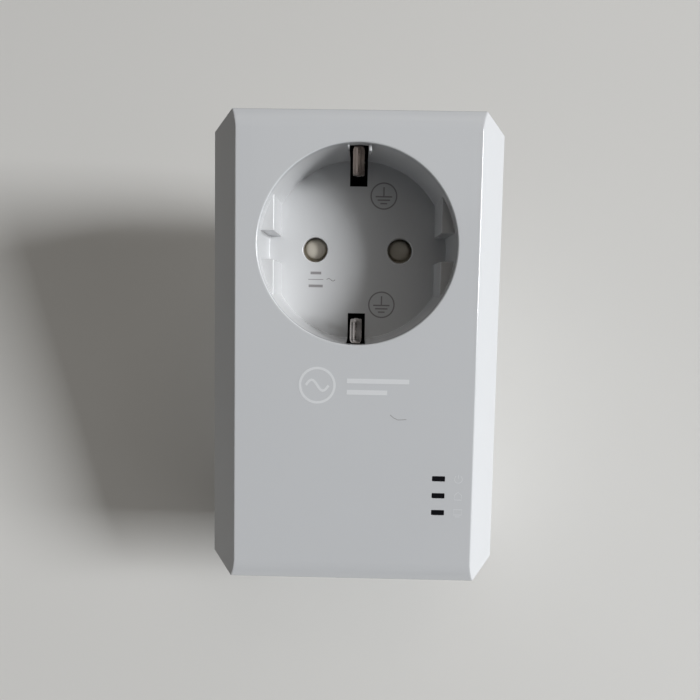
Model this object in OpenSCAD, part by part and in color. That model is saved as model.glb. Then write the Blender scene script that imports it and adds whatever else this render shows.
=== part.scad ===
// Powerline network adapter with an earthed pass-through mains socket.
// Frame: the plug face is the plane y = 0, centred on the origin between the two plug pins.
// +Y points into the wall, +Z is up and the front of the case faces -Y. All sizes are millimetres.

/* [Case] */
// Overall height of the case, along Z
case_h = 95.4; // [94:0.2:110]
// Width of the case behind the side bevels
case_w = 59.4; // [59:0.2:62]
// Width of the flat front face, between the two side bevels
front_w = 48.8; // [47.6:0.2:50]
// Depth of the case from its front face to its back face
case_d = 40; // [40:0.5:46]
// Depth of the side bevels, from the front face
bevel_d = 6; // [5.5:0.1:7]
// Depth of the joint between the two covers, from the front face
joint_d = 15.5; // [15:0.5:17]
// How far the cut across each corner reaches down the side
corner_h = 3.65; // [3:0.05:4]
// Distance from the socket axis up to the top of the case
axis_to_top = 26.5; // [26:0.1:28]
// Wall thickness of the covers
wall = 2; // [1.8:0.1:2.2]

/* [Socket] */
// Diameter of the plug recess at the front
recess_dia = 40; // [40:0.1:40.4]
// Depth of the plug recess
recess_depth = 17.5; // [17.5:0.1:18]
// Spacing of the two pin holes, and of the two plug pins
pin_pitch = 19; // [19:0.1:19.2]
// Diameter of the pin holes in the recess floor
pin_hole_dia = 5.5; // [5.2:0.1:5.6]
// Distance from the socket axis to the flat guide faces at the sides
guide_face = 17.1; // [17:0.1:17.3]
// Width of the guide grooves at the sides
groove_w = 5.7; // [5.5:0.1:6]
// Width of the slots that the earth clips stand in
earth_slot_w = 3.7; // [3.5:0.1:4.2]
// Travel of the safety shutter
shutter_travel = 6; // [5.8:0.1:6]

/* [Plug] */
// Diameter of the round pins
pin_dia = 4.8; // [4.8:0.05:4.9]
// Length of the pins from the plug face
pin_len = 19; // [18.5:0.1:19.5]
// Diameter of the plug body
plug_dia = 37; // [36.6:0.1:37.4]
// Height of the plug body above the back of the case
plug_h = 18; // [17.5:0.1:18.5]

/* [Front details] */
// Distance of the status lights from the centre line
light_x = 17.45; // [16.5:0.05:17.6]
// Depth of the top status light below the socket axis
light_drop = 47.1; // [46:0.1:48]
// Spacing of the three status lights
light_pitch = 3.53; // [3.2:0.01:3.8]
// Width of each status light
light_w = 2.65; // [2.4:0.05:3]
// Height of each status light
light_h = 1.1; // [0.8:0.05:1.2]

/* [Underside] */
// Distance of the network socket from the centre line
port_x = -7; // [-7.5:0.1:-6.8]
// Distance of the pairing button from the centre line
button_x = 9; // [8.6:0.1:9.4]
// Travel of the pairing button
button_travel = 0.8; // [0.5:0.1:0.8]

/* [Hidden] */

$fn = 64;
eps = 0.01;
big = 200;
fit = 0.1;                                   // gap left between parts that only touch

// Planes along Y
y_front = -(plug_h + case_d);
y_split = y_front + joint_d;
y_back = -plug_h;
y_floor = y_front + recess_depth;
floor_t = 2;
y_floor_back = y_floor + floor_t;
y_inner_back = y_back - wall;

// Heights along Z
z_top = axis_to_top;
z_bottom = axis_to_top - case_h;
rear_draft = 1.0;                            // how far each side leans in over the rear cover
rear_end_draft = 0.6;
crown_l = 4;                                 // the front face curves back over this length at its ends
crown_d = 1;                                 // and by this much
edge_round = 0.5;
back_round = 1.6;
side_slope = (case_w - front_w) / 2 / bevel_d;
corner_start = 0.6;                          // each corner cut starts this far outside the front face

pin_x = pin_pitch / 2;
recess_r = recess_dia / 2;
cup_r = recess_r - 0.1;                      // bore of the cup, just inside the hole in the front
cup_wall = 1.7;
ledge_depth = 4;                             // how far below the front the guide faces start
mark_x = 5.65;                               // protective-earth symbols on the recess floor
mark_z = 12.1;
mark_r = 2.9;
mark_line = 0.35;
mark_cut = 0.15;
slot_inner = 14.1;                           // where the earth slots start in the floor

// Screws that hold the two covers together
boss_x = 19.5;
boss_z = [z_top - 6.8, z_bottom + 7.1];
boss_r = 3;
screw_r = 1.5;
screw_head_r = 2.8;
y_head_seat = y_back - 6;
y_post_end = y_back - 9;
case_screw_len = 14;

// Shutter and the carrier behind the cup floor
shutter_gap = 0.2;
shutter_t = 2.4;
y_shutter = y_floor_back + shutter_gap;
y_pocket = y_shutter + shutter_t + shutter_gap;
carrier_x = 16;
carrier_top = 11.4;
carrier_low = -12.2;
y_carrier_back = y_inner_back - 2.6;
pocket_top = 9.5;
pocket_low = -10.3;
shutter_x = 13.8;
shutter_top = 9.3;
shutter_low = -4;
spring_r = 0.95;
spring_wire = 0.3;
spring_top = 6.5;
carrier_screw = [18.9, 6];

// Earth clips: a bent strip that turns about its rolled root
clip_w = 2.5;
clip_t = 0.6;
clip_root = [y_floor_back + 2.1, 18.5];
clip_crest = [y_front + 9.5, 15.1];
clip_tip = [y_front + 2.8, 19];
knuckle_r = 1;

// Earth strap and the plug's own earth contacts
strap_w = 4.6;
strap_t = 0.8;
plug_contact_z = 15.8;                       // inner side of the plug's earth contacts
y_strap = y_inner_back - 2.3;
earth_tube_z = 10;

// Circuit board
board_t = 1.6;
board_x = 27;
board_corner = 1.6;                          // each lower corner is cut off this far in
board_top = -23.8;
board_low = z_bottom + 3.3;
y_board = y_split - 0.1;                     // front side of the board
y_board_back = y_board + board_t;
board_screw = [18, -28];

// Network socket
port_w = 16;
port_h = 13.4;
port_len = 21;
port_mouth = [12, 8.2];
port_depth = 13;
z_port = z_bottom + 1.2;
port_y = y_board_back + port_h / 2;

// Pairing button
button_w = 7.4;
button_d = 4.6;
button_y = y_board_back + 3.2;
z_button = z_bottom + 0.45;

function arc(c, r, a0, a1, n) = [for (i = [0:n]) let (a = a0 + (a1 - a0) * i / n) c + r * [cos(a), sin(a)]];
function mirrored(points) = [for (i = [len(points) - 1:-1:0]) [-points[i][0], points[i][1]]];

// Unit normal of a path at point i, to the left of its direction
function normal_at(p, i) =
  let (a = p[max(i - 1, 0)], b = p[min(i + 1, len(p) - 1)], d = (b - a) / norm(b - a)) [-d[1], d[0]];
// Closed outline of a strip of thickness t along a path
function strip(p, t) = concat(
  [for (i = [0:len(p) - 1]) p[i] + normal_at(p, i) * t / 2],
  [for (i = [len(p) - 1:-1:0]) p[i] - normal_at(p, i) * t / 2]);

// Extrudes a [y, z] outline along X
module along_x(width, x = 0) translate([x - width / 2, 0, 0]) rotate([90, 0, 90]) linear_extrude(width) children();
// Extrudes an [x, z] outline from y0 to y1
module along_y(y0, y1) translate([0, y1, 0]) rotate([90, 0, 0]) linear_extrude(y1 - y0) children();
module rod_y(r, y0, y1, at = [0, 0]) translate([at[0], y1, at[1]]) rotate([90, 0, 0]) cylinder(r = r, h = y1 - y0);
module rod_x(r, width, at) translate([-width / 2, at[0], at[1]]) rotate([0, 90, 0]) cylinder(r = r, h = width);
module box(low, high) translate(low) cube(high - low);
module both_sides(v) for (s = [-1, 1]) scale_side(s, v) children();
module scale_side(s, v) mirror(s < 0 ? v : [0, 0, 0]) children();

// Round profile about the Y axis: points are [radius, y]
module turned(points, at = [0, 0]) translate([at[0], 0, at[1]]) rotate([-90, 0, 0]) rotate_extrude() polygon(points);

// Tube of radius r along 3D points, with n sides
module tube_along(p, r, n) {
  m = len(p);
  function dir(i) = let (d = p[min(i + 1, m - 1)] - p[max(i - 1, 0)]) d / norm(d);
  function side(i) = let (c = cross(dir(i), [1, 0, 0.01])) c / norm(c);
  rings = [for (i = [0:m - 1]) let (u = side(i), v = cross(dir(i), u))
    for (k = [0:n - 1]) p[i] + r * (u * cos(360 * k / n) + v * sin(360 * k / n))];
  sides = [for (i = [0:m - 2]) for (k = [0:n - 1]) let (a = i * n + k, b = i * n + (k + 1) % n)
    each [[a, b, b + n], [a, b + n, a + n]]];
  polyhedron(rings, concat([[for (k = [n - 1:-1:0]) k]], sides, [[for (k = [0:n - 1]) (m - 1) * n + k]]));
}
// Smooth curve through four control points
function bezier(a, b, c, d, n) = [for (i = [0:n]) let (t = i / n, s = 1 - t)
  s * s * s * a + 3 * s * s * t * b + 3 * s * t * t * c + t * t * t * d];

// ---- Case ----

// Half outline of the case seen from above, inset by t
function side_outline(t) = let (ts = t * sqrt(1 + side_slope * side_slope), w0 = front_w / 2, w1 = case_w / 2,
    w2 = w1 - rear_draft) concat(
  t > 0 ? [[w0 + side_slope * t - ts, y_front + t]]
        : [[w0 - edge_round * 0.8, y_front], [w0 - edge_round * 0.25, y_front + 0.12],
           [w0 + side_slope * edge_round * 0.7, y_front + edge_round * 0.7]],
  [[w1 - t, y_front + bevel_d + (ts - t) / side_slope], [w1 - t, y_split], [w2 - t, y_back - max(t, back_round)]],
  t > 0 ? [[w2 - t, y_back - t]] : arc([w2 - back_round, y_back - back_round], back_round, 15, 90, 5));
// Outline of the case seen from the side, inset by t
function end_outline(t) = let (top0 = z_top - t, low0 = z_bottom + t,
    top2 = top0 - rear_end_draft, low2 = low0 + rear_end_draft,
    r = (crown_l * crown_l + crown_d * crown_d) / 2 / crown_d, a = asin(crown_l / r) - 3, yc = y_front + t + r) concat(
  arc([yc, top0 - crown_l], r, 180, 180 - a, 5), [[y_front + t + crown_d + 0.5, top0], [y_split, top0]],
  t > 0 ? [[y_back - t, top2]] : arc([y_back - back_round, top2 - back_round], back_round, 88, 0, 5),
  t > 0 ? [[y_back - t, low2]] : arc([y_back - back_round, low2 + back_round], back_round, 0, -88, 5),
  [[y_split, low0], [y_front + t + crown_d + 0.5, low0]], arc([yc, low0 + crown_l], r, 180 + a, 180, 5));
// Half outline of the case seen from the front, with only the cuts across its corners, inset by t
function corner_outline(t) = let (a = [front_w / 2 + corner_start, z_top], b = [case_w / 2, z_top - corner_h],
    u = b - a, n = [u[1], -u[0]] / norm(u) * t, p = a - u / 2 + n, q = b + u / 2 + n, span = z_top + z_bottom)
  [p, q, [q[0], span - q[1]], [p[0], span - p[1]]];
module case_block(t) intersection() {
  translate([0, 0, -big / 2]) linear_extrude(big) polygon(concat(side_outline(t), mirrored(side_outline(t))));
  along_x(case_w + 2) polygon(end_outline(t));
  along_y(y_front - 1, y_back + 1) polygon(concat(corner_outline(t), mirrored(corner_outline(t))));
}
module slab(y0, y1) box([-big, y0, -big], [big, y1, big]);

module boss_places() for (x = [-boss_x, boss_x], z = boss_z) translate([x, 0, z]) children();

module front_cover() color("whitesmoke") {
  lip = 1.8;
  difference() {
    intersection() {
      case_block(0);
      slab(y_front - 1, y_split);
    }
    case_block(wall);
    intersection() {
      case_block(wall / 2 + fit);
      slab(y_split - lip, y_split + 1);
    }
    rod_y(recess_r, y_front - 1, y_front + wall + 1);
    turned([[0, y_front - 0.5], [recess_r + 0.8, y_front - 0.5], [recess_r, y_front + 0.3], [0, y_front + 0.3]]);
    light_places() box([-light_w / 2, y_front - 1, -light_h / 2], [light_w / 2, y_front + wall + 1, light_h / 2]);
  }
  boss_places() difference() {
    rod_y(boss_r, y_front + wall - 0.2, y_post_end - fit);
    rod_y(screw_r, y_head_seat - case_screw_len - 1, y_post_end + 1);
  }
  both_sides([1, 0, 0]) translate([board_screw[0], 0, board_screw[1]]) difference() {
    rod_y(2.4, y_front + wall - 0.2, y_board);
    rod_y(1.1, y_board - 8, y_board + 1);
  }
}

module rear_cover() color("white") {
  vent_y = [y_split + 5, y_back - 6];
  difference() {
    union() {
      difference() {
        intersection() {
          case_block(0);
          slab(y_split, y_back + 1);
        }
        case_block(wall);
      }
      difference() {
        intersection() {
          case_block(wall / 2 + 2 * fit);
          slab(y_split - 1.6, y_split + 1);
        }
        case_block(wall);
      }
      boss_places() rod_y(boss_r + 1.2, y_post_end, y_inner_back + 0.2);
    }
    boss_places() {
      rod_y(screw_r + 0.1, y_post_end - 1, y_back + 1);
      rod_y(screw_head_r + 0.2, y_head_seat, y_back + 1);
    }
    rod_y(plug_dia / 2 + fit, y_inner_back - 1, y_back + 1);
    for (s = [-1, 1], i = [0:9])
      box([s > 0 ? case_w / 2 - 5 : -case_w / 2 - 1, vent_y[0], -50 + 4 * i - 0.8],
          [s > 0 ? case_w / 2 + 1 : -case_w / 2 + 5, vent_y[1], -50 + 4 * i + 0.8]);
    for (i = [-3:3]) box([5 * i - 1.1, vent_y[0], z_top - 5], [5 * i + 1.1, vent_y[1], z_top + 1]);
    box([port_x - port_w / 2 - fit, port_y - port_h / 2 - fit, z_bottom - 1],
        [port_x + port_w / 2 + fit, port_y + port_h / 2 + fit, z_bottom + 5]);
    box([button_x - button_w / 2 - fit, button_y - button_d / 2 - fit, z_bottom - 1],
        [button_x + button_w / 2 + fit, button_y + button_d / 2 + fit, z_bottom + 5]);
    box([-20.1, y_back - 0.2, -56.1], [20.1, y_back + 1, -25.9]);
  }
}

module rear_label() color("gainsboro") box([-20, y_back - 0.2, -56], [20, y_back - 0.05, -26]);

module screw(r, len, head_r, head_h) {
  pitch = 0.8;
  turns = floor((len - 1.5) / pitch);
  thread = [for (i = [0:turns - 1]) each [[r, -(i + 0.2) * pitch], [r * 0.8, -(i + 0.7) * pitch]]];
  difference() {
    turned(concat([[0, head_h], [head_r * 0.75, head_h], [head_r, head_h * 0.55], [head_r, 0], [r * 0.8, 0]], thread,
                  [[r * 0.7, -turns * pitch], [0, -len + 0.05]]));
    for (a = [0, 90]) rotate([0, a, 0]) box([-head_r * 0.5, head_h * 0.35, -0.35], [head_r * 0.5, head_h + 1, 0.35]);
  }
}
module case_screws() color("silver") boss_places()
  translate([0, y_head_seat, 0]) screw(screw_r - 0.02, case_screw_len, screw_head_r, 1.9);

// ---- Socket ----

module clip_slots(inner) both_sides([0, 0, 1])
  box([-earth_slot_w / 2, y_front, inner], [earth_slot_w / 2, y_floor_back + 1, recess_r + 4]);

// Protective-earth symbol, cut shallowly into the recess floor
module earth_mark() {
  difference() {
    rod_y(mark_r, -1, mark_cut);
    rod_y(mark_r - mark_line, -2, 1);
  }
  box([-mark_line / 2, -1, -0.2], [mark_line / 2, mark_cut, mark_r * 0.62]);
  for (i = [0:2]) box([-1.7 + 0.55 * i, -1, -0.2 - 0.75 * i - mark_line / 2], [1.7 - 0.55 * i, mark_cut, -0.2 - 0.75 * i + mark_line / 2]);
}

module socket_cup() color("white") difference() {
  union() {
    intersection() {
      difference() {
        union() {
          rod_y(cup_r + cup_wall, y_front + wall, y_floor_back);
          rod_y(cup_r + cup_wall + 1, y_front + wall, y_front + wall + 1.4);
        }
        rod_y(cup_r, y_front, y_floor);
      }
      case_block(wall);
    }
    // Flat guide faces, each split by a groove
    difference() {
      both_sides([1, 0, 0]) intersection() {
        rod_y(cup_r + 0.5, y_front + ledge_depth, y_floor + 0.5);
        box([guide_face, y_front, -big], [big, y_floor + 1, big]);
      }
      box([-big, y_front, -groove_w / 2], [big, y_floor, groove_w / 2]);
    }
  }
  for (x = [-pin_x, pin_x]) rod_y(pin_hole_dia / 2, y_floor - 1, y_floor_back + 1, [x, 0]);
  clip_slots(slot_inner);
  for (z = [-mark_z, mark_z]) translate([mark_x, y_floor, z]) earth_mark();
  for (s = [-1, 1]) rod_y(1, y_floor_back - 9, y_floor_back + 1, s * carrier_screw);
}

module carrier_ears(r, y0, y1) for (s = [-1, 1]) rod_y(r, y0, y1, s * carrier_screw);

module contact_carrier() color("lightgray") difference() {
  union() {
    box([-carrier_x, y_floor_back, carrier_low], [carrier_x, y_carrier_back, carrier_top]);
    carrier_ears(2.4, y_floor_back, y_floor_back + 2.4);
    for (s = [-1, 1]) box(
      [s > 0 ? carrier_x - 1 : -carrier_screw[0], y_floor_back, s * carrier_screw[1] - 2.3],
      [s > 0 ? carrier_screw[0] : 1 - carrier_x, y_floor_back + 2.4, s * carrier_screw[1] + 2.3]);
  }
  box([-shutter_x - fit, y_floor_back - 1, pocket_low], [shutter_x + fit, y_pocket, pocket_top]);
  for (x = [-pin_x, pin_x]) rod_y(3.3, y_pocket - 1, y_carrier_back + 1, [x, 0]);
  carrier_ears(1.2, y_floor_back - 1, y_floor_back + 3);
}
module carrier_screws() color("silver") for (s = [-1, 1])
  translate([s * carrier_screw[0], y_floor_back + 2.4, s * carrier_screw[1]]) screw(0.98, 9, 1.9, 1.2);

// A plate that blocks both pin holes. Each pin meets a slope and drives the plate down until its holes line up.
module shutter() color("wheat") difference() {
  box([-shutter_x, y_shutter, shutter_low], [shutter_x, y_shutter + shutter_t, shutter_top]);
  for (x = [-pin_x, pin_x]) {
    rod_y(2.9, y_shutter - 1, y_shutter + shutter_t + 1, [x, shutter_travel]);
    along_x(5.8, x) polygon([[y_shutter - 1, -2.9], [y_shutter, -2.9], [y_shutter + 1.7, 4], [y_shutter - 1, 4]]);
  }
  box([-spring_r - 0.4, y_shutter - 1, shutter_low - 1], [spring_r + 0.4, y_shutter + shutter_t + 1, spring_top]);
}
module shutter_spring() color("silver") {
  turns = 9;
  steps = 8;
  z0 = pocket_low + spring_wire;
  rise = spring_top - spring_wire - z0;
  mean_r = spring_r - spring_wire / 2;
  y0 = y_shutter + shutter_t / 2;
  tube_along([for (i = [0:turns * steps]) let (a = 360 * i / steps)
    [mean_r * cos(a), y0 + mean_r * sin(a), z0 + rise * i / (turns * steps)]], spring_wire / 2, 5);
}

// Centre line of the moving earth clip, root to tip, as [y, z]
clip_path = concat(
  [for (i = [0:12]) let (u = i / 12, k = (1 - cos(180 * u)) / 2)
    [clip_root[0] - 1.6 + (clip_crest[0] - clip_root[0] + 1.6) * u, clip_root[1] + (clip_crest[1] - clip_root[1]) * k]],
  [for (i = [1:10]) let (u = i / 10, k = (1 - cos(150 * u)) / (1 - cos(150)))
    [clip_crest[0] + (clip_tip[0] - clip_crest[0]) * u, clip_crest[1] + (clip_tip[1] - clip_crest[1]) * k]]);
module clip_top() {
  along_x(clip_w) polygon(strip(clip_path, clip_t));
  along_x(clip_w) polygon([[clip_root[0], clip_root[1] - clip_t / 2], [clip_root[0], clip_root[1] + clip_t / 2],
    [clip_root[0] - 1.7, clip_root[1] + clip_t / 2], [clip_root[0] - 1.7, clip_root[1] - clip_t / 2]]);
  rod_x(knuckle_r, clip_w, clip_root);
}
module earth_clip_top() color("rosybrown") clip_top();
module earth_clip_bottom() color("rosybrown") mirror([0, 0, 1]) clip_top();

module strap_arm() {
  seat = knuckle_r + 0.06;
  along_x(strap_w) difference() {
    union() {
      translate(clip_root) circle(seat + strap_t);
      polygon(strip([[clip_root[0] + seat + 0.2, clip_root[1]], [y_strap - 6, clip_root[1]], [y_strap - 2.6, plug_contact_z + strap_t / 2],
                     [y_inner_back - 1.25, plug_contact_z + strap_t / 2]], strap_t));
    }
    translate(clip_root) circle(seat);
    translate(clip_root) polygon([[0.4, 0], [-4, 1.75], [-4, -0.95], [0, -0.9]]);
  }
}
module earth_strap() color("silver") {
  both_sides([0, 0, 1]) strap_arm();
  box([-strap_w / 2, y_strap, -plug_contact_z - 0.2], [strap_w / 2, y_strap + strap_t, plug_contact_z + 0.2]);
}

// Slit sleeve that grips one pin of the plug in front, with a tab for its lead
module contact(x) {
  y0 = y_pocket + 0.4;
  y_end = y_inner_back;
  difference() {
    rod_y(3.05, y0, y_end, [x, 0]);
    rod_y(2.45, y0 - 1, y_end - 0.8, [x, 0]);
    translate([x, 0, 0]) box([-0.6, y0 - 1, -4], [0.6, y_end - 4, 4]);
  }
  difference() {
    box([x - 2, y_strap, -14.5], [x + 2, y_strap + 0.8, -2]);
    rod_y(2.9, y_strap - 1, y_end, [x, 0]);
  }
}
module line_contact() color("gold") contact(-pin_x);
module neutral_contact() color("gold") contact(pin_x);

// ---- Plug ----

module plug_pin(x) {
  r = pin_dia / 2;
  tip = 1.9;
  y_end = y_inner_back + 0.05;
  turned(concat([[0, y_end], [2, y_end], [2, -4], [r + 0.25, -4], [r + 0.25, 0], [r, 0]],
    [for (i = [0:8]) let (a = 90 * i / 8) [r - tip + tip * cos(a), pin_len - tip + tip * sin(a)]], [[0, pin_len]]), [x, 0]);
}
module plug_pin_left() color("silver") plug_pin(-pin_x);
module plug_pin_right() color("silver") plug_pin(pin_x);

module plug_body() color("white") {
  r = plug_dia / 2;
  flat_x = guide_face - 0.5;
  rib = groove_w / 2 - 0.35;
  hollow_r = 13.8;
  flange_y = y_inner_back - 1.2;
  lead_in = 0.9;
  y_collar = y_back + 1.5;
  difference() {
    union() {
      rod_y(r, flange_y, y_collar);
      rod_y(r + 2.4, flange_y, y_inner_back);
      difference() {
        turned([[0, y_collar - 0.5], [r, y_collar - 0.5], [r, -lead_in], [r - lead_in, 0], [0, 0]]);
        both_sides([1, 0, 0]) both_sides([0, 0, 1])
          box([flat_x, y_collar, rib], [big, 1, big]);
        both_sides([0, 0, 1]) box([-2.9, y_collar, plug_contact_z], [2.9, 1, big]);
      }
    }
    rod_y(hollow_r, flange_y - 1, -4.5);
    both_sides([0, 0, 1]) box([-strap_w / 2 - fit, flange_y - 1, plug_contact_z], [strap_w / 2 + fit, y_collar + 1, plug_contact_z + strap_t + fit]);
    for (x = [-pin_x, pin_x]) {
      rod_y(pin_dia / 2 + 0.27, -4, 1, [x, 0]);
      rod_y(2.05, -5, 1, [x, 0]);
    }
    rod_y(2.7, -5, 1, [0, earth_tube_z]);
  }
}
module plug_contact_top() {
  z = plug_contact_z;
  y0 = y_inner_back - 1.2;
  box([-strap_w / 2, y0, z], [strap_w / 2, y_back + 1.6, z + strap_t]);
  along_x(strap_w) polygon([[y_back + 1.5, z], [-1.6, z], [-1.6, z + 0.35], [-2.6, z + 0.9], [-12, z + 1.05], [y_back + 1.5, z + strap_t]]);
}
module plug_earth_contact_top() color("silver") plug_contact_top();
module plug_earth_contact_bottom() color("silver") mirror([0, 0, 1]) plug_contact_top();
module plug_earth_tube() color("silver") difference() {
  rod_y(2.68, y_strap + strap_t, -0.8, [0, earth_tube_z]);
  rod_y(2.42, y_strap + strap_t + 1, 0, [0, earth_tube_z]);
}
module ferrite(x) difference() {
  rod_y(4.2, -17, -6, [x, 0]);
  rod_y(2.1, -18, -5, [x, 0]);
}
module line_ferrite() color("dimgray") ferrite(-pin_x);
module neutral_ferrite() color("dimgray") ferrite(pin_x);

// ---- Status lights ----

module light_places() for (i = [0:2]) translate([light_x, 0, -light_drop - light_pitch * i]) children();
module light_pipe() color("black") {
  clear = 0.04;
  web = [y_board - 5, y_board - 3.6];
  light_places() box([-light_w / 2 + clear, y_front + 0.15, -light_h / 2 + clear], [light_w / 2 - clear, web[0], light_h / 2 - clear]);
  light_places() box([-light_w / 2 + clear, web[1], -light_h / 2], [light_w / 2 - clear, y_board - 1.4, light_h / 2]);
  box([light_x - 2, web[0], -light_drop - 2 * light_pitch - 1.4], [light_x + 2, web[1], -light_drop + 1.4]);
}
module status_leds() color("lightyellow") light_places()
  box([-0.8, y_board - 0.8, -0.4], [0.8, y_board, 0.4]);

// ---- Circuit board and what stands on it ----

module main_board() color("seagreen") difference() {
  box([-board_x, y_board, board_low], [board_x, y_board_back, board_top]);
  for (x = [-boss_x, boss_x]) rod_y(boss_r + 0.3, y_board - 1, y_board_back + 1, [x, boss_z[1]]);
  for (x = [-1, 1]) rod_y(1.2, y_board - 1, y_board_back + 1, [x * board_screw[0], board_screw[1]]);
  both_sides([1, 0, 0]) translate([board_x, 0, board_low]) rotate([0, 45, 0])
    box([-board_corner, y_board - 1, -board_corner], [board_corner, y_board_back + 1, board_corner]);
}
module board_screws() color("silver") for (s = [-1, 1])
  translate([s * board_screw[0], y_board_back, board_screw[1]]) screw(1.08, 7, 2.1, 1.3);

// Rows of small legs, n along Z on both sides, for a part on the front side of the board
module legs(low, high, n, h) for (i = [0:n - 1]) let (z = low[1] + (high[1] - low[1]) * (i + 0.5) / n)
  box([low[0] - 0.9, y_board - h, z - 0.2], [high[0] + 0.9, y_board, z + 0.2]);
module on_back(low, high, h) box([low[0], y_board_back, low[1]], [high[0], y_board_back + h, high[1]]);
module on_front(low, high, h) box([low[0], y_board - h, low[1]], [high[0], y_board, high[1]]);

module ethernet_jack() color("black") difference() {
  x0 = port_x - port_w / 2 + 0.25;
  x1 = port_x + port_w / 2 - 0.25;
  m = port_mouth;
  box([x0, y_board_back, z_port + 0.25], [x1, y_board_back + port_h - 0.25, z_port + port_len]);
  box([port_x - m[0] / 2, port_y - m[1] / 2, z_port - 1], [port_x + m[0] / 2, port_y + m[1] / 2, z_port + port_depth]);
  box([port_x - 3.2, port_y + m[1] / 2 - 0.5, z_port - 1], [port_x + 3.2, port_y + m[1] / 2 + 1.4, z_port + port_depth - 4]);
}
// Formed sheet-metal shell around the network socket
module ethernet_shield() color("silver") difference() {
  box([port_x - port_w / 2, y_board_back, z_port], [port_x + port_w / 2, y_board_back + port_h, z_port + port_len + 0.25]);
  box([port_x - port_w / 2 + 0.25, y_board_back - 1, z_port + 0.25],
      [port_x + port_w / 2 - 0.25, y_board_back + port_h - 0.25, z_port + port_len]);
  box([port_x - port_mouth[0] / 2, port_y - port_mouth[1] / 2, z_port - 1], [port_x + port_mouth[0] / 2, port_y + port_mouth[1] / 2, z_port + 1]);
  box([port_x - 3.2, port_y + port_mouth[1] / 2 - 0.5, z_port - 1], [port_x + 3.2, port_y + port_mouth[1] / 2 + 1.4, z_port + 1]);
}
// Eight sprung wires that slope across the mouth, held in the back of the socket
module ethernet_contacts() color("gold") {
  y0 = port_y - port_mouth[1] / 2;
  z1 = z_port + port_depth;
  for (i = [0:7]) along_x(0.35, port_x + (i - 3.5) * 1.02)
    polygon(strip([[y0 + 0.25, z1], [y0 + 0.25, z1 - 2.6], [y0 + 0.6, z1 - 3.4], [y0 + 2.9, z1 - 8.6], [y0 + 2.6, z1 - 9.6]], 0.3));
}

module pair_button() color("white") {
  z_wall = z_bottom + 4;
  y0 = button_y - button_d / 2;
  translate([button_x, 0, 0]) {
    box([-button_w / 2, y0, z_button], [button_w / 2, y0 + button_d, z_wall + 0.6]);
    box([-button_w / 2 - 0.9, y0 + 0.02, z_wall], [button_w / 2 + 0.9, y0 + button_d + 0.7, z_wall + 0.9]);
    rod_z(1.1, z_wall, z_wall + 2.6, [0, button_y]);
  }
}
module rod_z(r, z0, z1, at) translate([at[0], at[1], z0]) cylinder(r = r, h = z1 - z0);
switch_z = z_bottom + 7.6;
module switch_body() color("dimgray") difference() {
  on_back([button_x - 3, switch_z], [button_x + 3, switch_z + 3.8], 6);
  rod_z(1.6, switch_z - 1, switch_z + 2.2, [button_x, button_y]);
}
module switch_plunger() color("black") rod_z(1.5, z_bottom + 6.6, switch_z + 1.2, [button_x, button_y]);

module power_transformer() color("goldenrod") {
  on_back([-12.5, -44], [2.5, -42], 14);
  on_back([-12.5, -31], [2.5, -29], 14);
  on_back([-10.5, -42], [0.5, -31], 12.5);
  box([-13, y_board_back + 12.5, -44], [3, y_board_back + 15, -29]);
}
module can(at, r, h) turned([[0, y_board_back], [r, y_board_back], [r, y_board_back + 1.2], [r - 0.3, y_board_back + 1.6],
  [r, y_board_back + 2], [r, y_board_back + h - 0.5], [r - 0.5, y_board_back + h], [0, y_board_back + h]], at);
module smoothing_capacitors() color("midnightblue") {
  can([-20, -37], 5, 17);
  can([9.5, -29.3], 4, 14);
  can([9.5, -38.1], 4, 14);
}
module suppression_capacitor() color("gold") on_back([17.5, -50], [24.5, -33], 13);
module choke_ring(r_in, r_out, h) difference() {
  rod_y(r_out, y_board_back + 1, y_board_back + 1 + h, [10.3, -50.6]);
  rod_y(r_in, y_board_back, y_board_back + 2 + h, [10.3, -50.6]);
}
module noise_choke() color("darkgreen") choke_ring(2.6, 5.6, 5);
module choke_windings() color("chocolate") {
  c = [10.3, -50.6];
  for (k = [0:9]) rotate_about(c, k * 36 + 9) translate([c[0] + 4.1, y_board_back + 3.5, c[1]]) difference() {
    cube([4.7, 6.6, 1.1], center = true);
    cube([3.4, 5.2, 2], center = true);
  }
}
module rotate_about(c, a) translate([c[0], 0, c[1]]) rotate([0, a, 0]) translate([-c[0], 0, -c[1]]) children();
module surge_varistor() color("royalblue") {
  rod_x_at = [y_board_back + 6.5, -48.2];
  translate([-21.5, 0, 0]) rod_x(5, 4, rod_x_at);
  for (s = [-1, 1]) rod_y(0.4, y_board_back, y_board_back + 3, [-21.5 + s * 0.9, -48.2 + s * 2.5]);
}
module fuse() color("saddlebrown") on_back([-26, -57.4], [-17.8, -53.6], 7);
module coupling_transformer() color("black") {
  on_back([18.6, -58.4], [26, -51.2], 1.6);
  on_back([20.2, -56.8], [24.4, -52.8], 6.4);
  on_back([18.6, -58.4], [26, -51.2], 0.4);
  box([18.6, y_board_back + 6.4, -58.4], [26, y_board_back + 8, -51.2]);
}
module bridge_rectifier() color("black") {
  on_back([-12, -28.2], [-4, -24.6], 3);
  for (x = [-11, -5.6]) on_back([x, -28.9], [x + 0.6, -24.1], 0.4);
}
module main_processor() color("black") on_front([-12, -48], [0, -36], 1.2);
module thermal_pad() color("lightsteelblue")
  box([-12, y_board - 1.7, -48], [0, y_board - 1.2, -36]);
module heat_sink() color("silver") {
  y0 = y_board - 1.7;
  box([-13, y0 - 1.2, -49], [1, y0, -35]);
  for (i = [0:6]) box([-13 + i * 2.15, y0 - 6, -49], [-13 + i * 2.15 + 1.1, y0 - 1, -35]);
}
module memory_chip() color("black") {
  on_front([4.5, -48], [12.5, -36], 0.3);
  on_front([4.8, -47.7], [12.2, -36.3], 1.1);
}
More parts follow.
